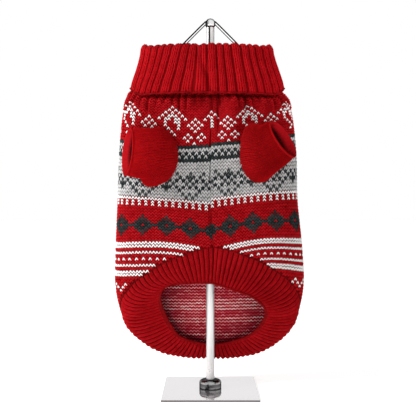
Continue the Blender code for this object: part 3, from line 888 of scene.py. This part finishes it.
for (name, side, (hole_x, hole_z, _, _), cuff, cuff_half, turn, tilt, puff_at, (puff_across, puff_up),
     lit_rows, tones_and_shade) in SLEEVES:
    root = Vector((hole_x, float(belly_depth(hole_x, hole_z)) - SLEEVE_START, hole_z))
    bend = root + Vector((0, -SLEEVE_RISE, 0))
    angle = np.linspace(0.0, 2 * math.pi, SLEEVE_RIBS * HALF_STEPS + 1)
    ring_x = hole_x + SLEEVE_ROOT_HALF[1] * np.sin(angle)
    ring_z = hole_z + SLEEVE_ROOT_HALF[0] * np.cos(angle)
    sewn = np.stack([ring_x, belly_depth(ring_x, ring_z) - SLEEVE_SEWN, ring_z], axis=-1)
    rings = [sewn, sewn + np.array([0, -SEAM_DEEP, 0])]
    puffed = np.clip(np.cos(angle - math.radians(puff_at)), 0, 1) ** 2
    for i in range(1, SLEEVE_RINGS + 1):
        t = i / SLEEVE_RINGS
        puff = math.sin(math.pi * min(t / PUFF_END, 1.0))
        middle = root * (1 - t) ** 2 + bend * 2 * t * (1 - t) + Vector(cuff) * t**2
        turned = math.radians(turn) * t
        tilted = math.radians(tilt) * t
        facing = Vector((side * math.sin(turned) * math.cos(tilted), -math.cos(turned),
                         math.sin(turned) * math.sin(tilted)))
        upright = Vector((-side * math.sin(tilted), 0, math.cos(tilted)))
        across = -facing.cross(upright).normalized()
        half_long, half_short = SLEEVE_ROOT_HALF + (np.array(cuff_half) - SLEEVE_ROOT_HALF) * t
        rings.append(np.array(middle) + np.outer(np.cos(angle) * half_long, upright)
                     + np.outer(np.sin(angle) * half_short, across)
                     + side * np.outer(np.sin(angle) * CUFF_REACH * t * t, facing)
                     + np.outer(puffed, (puff_across * puff, 0.0, puff_up * puff)))
    cloth = faced(rows_by_length(np.array(rings), SLEEVE_COURSES * HALF_STEPS + 1))
    relief = rib_relief(SLEEVE_RIB_TALL, 1, SLEEVE_RIBS, seed=71 + side,
                        flat_from=SLEEVE_COURSES - 2.5, flat_to=SLEEVE_COURSES - 0.5)
    sleeve = ribbed_shell("sleeve_" + name + "_rib", cloth, SLEEVE_RIBS, SLEEVE_COURSES,
                          (sleeve_wool, sleeve_back), relief, lift=-0.2,
                          tone_and_shade=lambda v: SLEEVE_LIT * smooth((v - SLEEVE_COURSES + lit_rows)
                                                             / (SLEEVE_LIT_FADE * lit_rows)))
    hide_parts("sleeve_" + name)
    # The right sleeve's stitch tones are lower: painted shade on that sleeve.
    stitches = knitted("stitches_sleeve_" + name, cloth, 0, SLEEVE_RIBS, SLEEVE_COURSES, (sleeve_wool,),
                       seed=41 + side, relief=relief, width=0.42, length=1.7, lean=9.0,
                       dip=0.15, lift=0.0, thick=0.9, tones_and_shade=tones_and_shade)
    rim = rolled_edge("sleeve_" + name + "_edge", cloth, SLEEVE_RIBS, sleeve_wool,
                      rib_relief(0.2, 1, SLEEVE_RIBS, seed=1), at_row=SLEEVE_COURSES - 0.1, radius=1.0,
                      lift=0.0, tones_and_shade=(0.4, 0.6))

# ---------------------------------------------------------------- hem band
# A band of broad rib knitted on round the whole lower edge, from the tail up to the belly. It draws
# in, so that its free edge makes an oval opening that faces down and forwards.

BAND_COLUMNS = ("share", "left", "left_height", "right", "right_height", "depth")
BAND_EDGE = [
    (0.00, 1.0, 48.0, 1.0, 48.0, 9.5),
    (0.10, -20.5, 52.5, 22.0, 51.5, 8.0),
    (0.20, -36.5, 60.0, 41.5, 58.5, 4.0),
    (0.30, -46.5, 75.0, 53.0, 68.5, -3.0),
    (0.40, -52.5, 90.0, 59.5, 80.0, -10.0),
    (0.50, -55.0, 102.0, 60.5, 90.0, -18.0),
    (0.60, -53.5, 111.5, 55.0, 100.0, -26.0),
    (0.70, -47.0, 119.0, 43.5, 109.0, -32.0),
    (0.80, -31.0, 122.5, 29.5, 114.5, -36.0),
    (0.90, -12.0, 123.8, 15.5, 119.5, -37.5),
    (1.00, 1.5, 123.8, 1.5, 123.8, -38.0),
]
band_line = curves(BAND_EDGE, BAND_COLUMNS)
BAND_ROLL = 15.0        # how far the band runs on before it turns in
TAIL_ROLL = 5.0         # further at the tail
TAIL_END, TAIL_FADE = 0.45, 0.3
JUST_ABOVE = 2.5        # steps on the panel that give its way down and round at the edge
JUST_BESIDE = 0.003
BAND_STRAIGHT = 3.0     # by the seam
BAND_TUCK = 0.8         # under the panel's edge
SQUARE_SHARE = 0.7      # how far the ribs leave the panel square to its edge, not on down
BAND_RINGS = 8
BAND_RIBS = 90
BAND_RIB_TALL = 1.6
BAND_WALES = BAND_RIBS * 2
BAND_COURSES = 16
band_wool = wool("band_wool", (0.34, 0.0022, 0.0045), (0.46, 0.006, 0.011), 0.12)
band_back = wool("band_wool_back", (0.32, 0.004, 0.008), (0.40, 0.01, 0.014), 0.8)


def hem_point(place):
    """Points of the panel's lower edge."""
    return on_body(hem("height", share_of(place)), place)


def free_edge(place):
    """The band's free edge, by place round from the belly seam."""
    at = {name: band_line(name, share_of(place)) for name in BAND_COLUMNS}
    right = place < 1.0
    return np.stack([np.where(right, at["right"], at["left"]), at["depth"],
                     np.where(right, at["right_height"], at["left_height"])], axis=-1)


def evenly(edge):
    """Places that stand evenly along each half of an edge."""
    count = BAND_RIBS * HALF_STEPS
    found = []
    for first in (0.0, 1.0):
        place = first + np.linspace(0.0, 0.99999, 801)
        length = np.concatenate([[0.0], np.cumsum(np.linalg.norm(np.diff(edge(place), axis=0), axis=1))])
        found.append(np.interp(np.linspace(0.0, length[-1], count + 1), length, place))
    return np.concatenate([found[0], found[1][1:]])


def unit(ways):
    return ways / np.linalg.norm(ways, axis=-1, keepdims=True)


sewn_place = evenly(hem_point)
sewn = hem_point(sewn_place)
above = on_body(hem("height", share_of(sewn_place)) + JUST_ABOVE, sewn_place)
down = unit(sewn - above)
# The ribs leave the panel nearly square to its edge.
along = np.concatenate([sewn[-2:-1], sewn, sewn[1:2]])
along = along[2:] - along[:-2]
level = on_body(sewn[:, 2], sewn_place + JUST_BESIDE) - on_body(sewn[:, 2], sewn_place - JUST_BESIDE)
square = unit(np.cross(np.cross(level, -down), along))
square *= np.sign(np.sum(square * down, axis=-1, keepdims=True))
lead = unit((1.0 - SQUARE_SHARE) * down + SQUARE_SHARE * square)
start = sewn + lead * BAND_STRAIGHT
roll = BAND_ROLL + TAIL_ROLL * smooth((TAIL_END - share_of(sewn_place)) / TAIL_FADE)
turn = start + lead * roll[:, None]
end = free_edge(evenly(free_edge))
band_rings = [sewn - lead * BAND_TUCK]
for i in range(BAND_RINGS + 1):
    t = i / BAND_RINGS
    band_rings.append(start * (1 - t) ** 2 + turn * 2 * t * (1 - t) + end * t**2)
band_cloth = faced(rows_by_length(np.array(band_rings), BAND_COURSES * HALF_STEPS + 1))
band_ribs = rib_relief(BAND_RIB_TALL, 2, BAND_RIBS, seed=81, flat_from=BAND_COURSES - 3.0,
                       flat_to=BAND_COURSES - 0.5)


def band_relief(u, v):
    """The ribs rise from the seam over the first rows."""
    return band_ribs(u, v) * smooth((v + 0.5) / 2.5)


# The shell's low tone is painted shade between the ribs' stitches.
band = ribbed_shell("hem_band_rib", band_cloth, BAND_WALES, BAND_COURSES, (band_wool, band_back),
                    band_relief, lift=-0.8, tone_and_shade=lambda v: np.full_like(v, 0.1), fine=2)
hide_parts("hem_band")
band_stitches = knitted("stitches_hem_band", band_cloth, 0, BAND_WALES, BAND_COURSES, (band_wool,),
                        seed=51, relief=band_relief, width=0.50, length=1.8, lean=7.0,
                        dip=0.12, lift=-0.7, thick=1.3, tones_and_shade=(0.42, 0.70), rib=2, squeeze=0.81)
band_edge = rolled_edge("hem_band_edge", band_cloth, BAND_WALES, band_wool,
                        rib_relief(0.3, 2, BAND_RIBS, seed=81), at_row=BAND_COURSES - 0.1, radius=1.6,
                        lift=-0.4)
# The join with the panel is a small welt, toned dark: painted shade in the crease there.
band_shade_welt = rolled_edge("hem_band_shade_welt", band_cloth, BAND_WALES, band_wool,
                        rib_relief(0.2, 2, BAND_RIBS, seed=82), at_row=0.35, radius=0.8, lift=0.2,
                        tones_and_shade=(0.0, 0.35), fine=2)

# ---------------------------------------------------------------- chrome stand
# A square polished plate carries a turned boss and a thin post. A ball at the top of the post is
# drilled for the bent rod whose two sloping arms hold the collar open.

DARK_FADE = 3.0         # height over which a darkening comes in
BELOW_ALL = -4.0        # for one that starts under the whole stand
SMEARED = (0.6, 1.6)    # shares of its roughness that a finish varies between


def darkened(tree, result, source, stops, height, start):
    """Multiplies a colour by shares that follow a value, from a height in millimetres up."""
    low, high = stops[0][0], stops[-1][0]
    along = shader_node(tree, "MapRange", {"From Min": low, "From Max": high}, {"Value": source})
    bands = shader_node(tree, "ValToRGB", {}, {"Fac": along.outputs["Result"]})
    elements = bands.color_ramp.elements
    for at, _ in stops[1:-1]:
        elements.new((at - low) / (high - low))
    for stop, (at, share) in zip(elements, stops):
        stop.position = (at - low) / (high - low)
        stop.color = (share, share, share, 1.0)
    above = shader_node(tree, "MapRange", {"From Min": start * MM, "From Max": (start + DARK_FADE) * MM},
                        {"Value": height})
    both = tree.nodes.new("ShaderNodeMix")
    both.data_type = "RGBA"
    both.blend_type = "MULTIPLY"
    for number, source in ((0, above.outputs["Result"]), (6, result), (7, bands.outputs["Color"])):
        tree.links.new(source, both.inputs[number])
    return both.outputs[2]


def chrome(name, colour, roughness, reflected_edge_colour, edge=(0.55, 0.95), metal=1.0, rings=(), mirrored=(),
           axis="Z", above=-1.0, tint=1.0, reflection_blots=()):
    """Bright plated metal, faintly smeared, with painted reflection: darker where it turns away. Rings are
    bands of painted reflection and shade by height, (height in millimetres, share of the colour). Mirrored
    are painted reflections of dark things, (how far it faces along the axis, share of the colour), from a
    height up. Blots are dark patches of painted reflection."""
    made, tree, shader = new_material(name)
    shader.inputs["Metallic"].default_value = metal
    shader.inputs["Specular Tint"].default_value = (tint, tint, tint, 1.0)
    spot = tree.nodes.new("ShaderNodeTexCoord")
    on_piece = {"Vector": spot.outputs["Object"]}
    smear = shader_node(tree, "TexNoise", {"Scale": 60.0, "Detail": 4.0}, on_piece)
    least, most = (roughness * share for share in SMEARED)
    rough = shader_node(tree, "MapRange", {"To Min": least, "To Max": most}, {"Value": smear.outputs["Fac"]})
    tree.links.new(rough.outputs["Result"], shader.inputs["Roughness"])
    facing = shader_node(tree, "LayerWeight", {"Blend": 0.5}, {})
    ramp = shader_node(tree, "ValToRGB", {}, {"Fac": facing.outputs["Facing"]})
    for element, shade, at in zip(ramp.color_ramp.elements, (colour, reflected_edge_colour), edge):
        element.color = (*shade, 1.0)
        element.position = at
    result = ramp.outputs["Color"]
    height = shader_node(tree, "SeparateXYZ", {}, on_piece).outputs["Z"]
    if rings:
        stops = [(at * MM, share) for at, share in rings]
        result = darkened(tree, result, height, stops, height, BELOW_ALL)
    if mirrored:
        faces = shader_node(tree, "SeparateXYZ", {}, {"Vector": spot.outputs["Normal"]})
        result = darkened(tree, result, faces.outputs[axis], mirrored, height, above)
    if reflection_blots:
        patches = shader_node(tree, "TexNoise", {"Scale": 150.0, "Detail": 2.0}, on_piece)
        result = darkened(tree, result, patches.outputs["Fac"], reflection_blots, height, BELOW_ALL)
    tree.links.new(result, shader.inputs["Base Color"])
    return made


# Each finish paints reflection and shade into its colour: the plate's and boss's bands and the boss's patches
# are painted reflections, the post's bands are painted shade, darker low down than above the collar, and the
# dark lines on the post, knob and rods are painted reflections.
CHROME = {
    "base_plate": chrome("plate_chrome", (0.83, 0.81, 0.81), 0.08, (0.76, 0.74, 0.75), metal=0.9,
                         rings=((0.0, 0.08), (1.5, 0.18), (1.95, 1.0))),
    "boss": chrome("boss_chrome", (0.70, 0.69, 0.69), 0.10, (0.22, 0.22, 0.23), (0.35, 0.8), tint=0.4,
                   rings=((1.9, 0.05), (2.8, 0.12), (3.6, 0.45), (5.0, 0.25), (7.0, 0.20), (9.0, 0.6),
                          (10.8, 0.55), (11.3, 0.3)),
                   reflection_blots=((0.40, 0.10), (0.48, 0.7), (0.60, 1.0))),
    "post": chrome("post_chrome", (0.90, 0.88, 0.875), 0.30, (0.60, 0.59, 0.60), (0.5, 0.9), 0.5,
                   rings=((10.8, 0.1), (11.6, 0.25), (13.0, 0.66), (20.0, 0.72), (340.0, 0.72),
                          (372.0, 1.0)),
                   mirrored=((-1.0, 0.9), (-0.46, 1.0), (-0.4, 0.02), (-0.03, 0.02), (0.02, 1.0), (1.0, 0.9)),
                   axis="X", above=368.0, tint=0.6),
    "knob": chrome("knob_chrome", (0.82, 0.81, 0.81), 0.06, (0.08, 0.08, 0.09), (0.3, 0.6), tint=0.15,
                   mirrored=((-1.0, 0.03), (-0.5, 0.05), (-0.3, 1.0), (0.6, 1.0), (0.8, 0.1), (1.0, 0.05)),
                   axis="X"),
    "arm_rod": chrome("rod_chrome", (0.90, 0.89, 0.90), 0.08, (0.20, 0.20, 0.21), (0.3, 0.6), tint=0.05,
                      mirrored=((-0.8, 0.02), (-0.45, 0.03), (-0.3, 1.0), (0.1, 1.0), (0.16, 0.01),
                                (1.0, 0.0))),
}
for name, finish in CHROME.items():
    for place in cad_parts[name].material_slots:
        place.material = finish

# ---------------------------------------------------------------- floor, light and camera
# A plain white studio: a wide pale floor, light from all round, one large soft light in front, and
# small ones low in front, into the hem's mouth, and from the side onto the right shoulder.

floor_mesh = bmesh.new()
bmesh.ops.create_grid(floor_mesh, x_segments=1, y_segments=1, size=6.0)
floor = in_scene("studio_floor", mesh_of(floor_mesh, "studio_floor"))
paper, _, paper_shader = new_material("floor_paper")
paper_shader.inputs["Base Color"].default_value = (0.93, 0.93, 0.93, 1.0)
paper_shader.inputs["Roughness"].default_value = 0.9
paper_shader.inputs["Emission Color"].default_value = (1.0, 1.0, 1.0, 1.0)
paper_shader.inputs["Emission Strength"].default_value = 0.68
floor.data.materials.append(paper)

# The backdrop is seen and mirrored white, but lights the cloth less.
world = bpy.data.worlds.new("studio")
bpy.context.scene.world = world
world.use_nodes = True
backdrop = world.node_tree.nodes["Background"]
backdrop.inputs["Color"].default_value = (1.0, 1.0, 1.0, 1.0)
path = world.node_tree.nodes.new("ShaderNodeLightPath")
glow = shader_node(world.node_tree, "MapRange", {"To Min": 1.0, "To Max": 0.32},
                   {"Value": path.outputs["Is Diffuse Ray"]})
world.node_tree.links.new(glow.outputs["Result"], backdrop.inputs["Strength"])


def soft_light(name, size, power, spot, aim, spread=180.0, mirrored=True):
    """A square or oblong light; one that isn't mirrored leaves the chrome as it is."""
    lamp = bpy.data.lights.new(name, "AREA")
    lamp.shape = "RECTANGLE"
    lamp.size, lamp.size_y = size
    lamp.energy = power
    lamp.spread = math.radians(spread)
    made = in_scene(name, lamp)
    made.location = spot
    made.visible_glossy = mirrored
    made.rotation_euler = (Vector(aim) - Vector(spot)).to_track_quat("-Z", "Y").to_euler()


soft_light("front_light", (0.45, 0.45), 31.0, (-1.45, -0.55, 1.2), (0, 0, 0.2))
soft_light("low_light", (0.3, 0.2), 2.0, (-0.35, -1.0, 0.06), (0, 0, 0.09), mirrored=False)
soft_light("inside_light", (0.08, 0.05), 0.0095, (-0.02, -0.8, 0.07), (0.0, 0.035, 0.085), 5.0, False)
soft_light("side_light", (0.08, 0.08), 0.021, (0.95, -0.35, 0.95), (0.088, -0.02, 0.345), 9.0, False)

lens = bpy.data.cameras.new("studio_camera")
lens.sensor_width = 36.0
lens.lens = 64.3
camera = in_scene("studio_camera", lens)
camera.location = (-0.0026, -0.832, 0.215)
camera.rotation_euler = (math.radians(89.23), 0.0, 0.0)
bpy.context.scene.camera = camera
bpy.context.scene.view_settings.view_transform = "Standard"
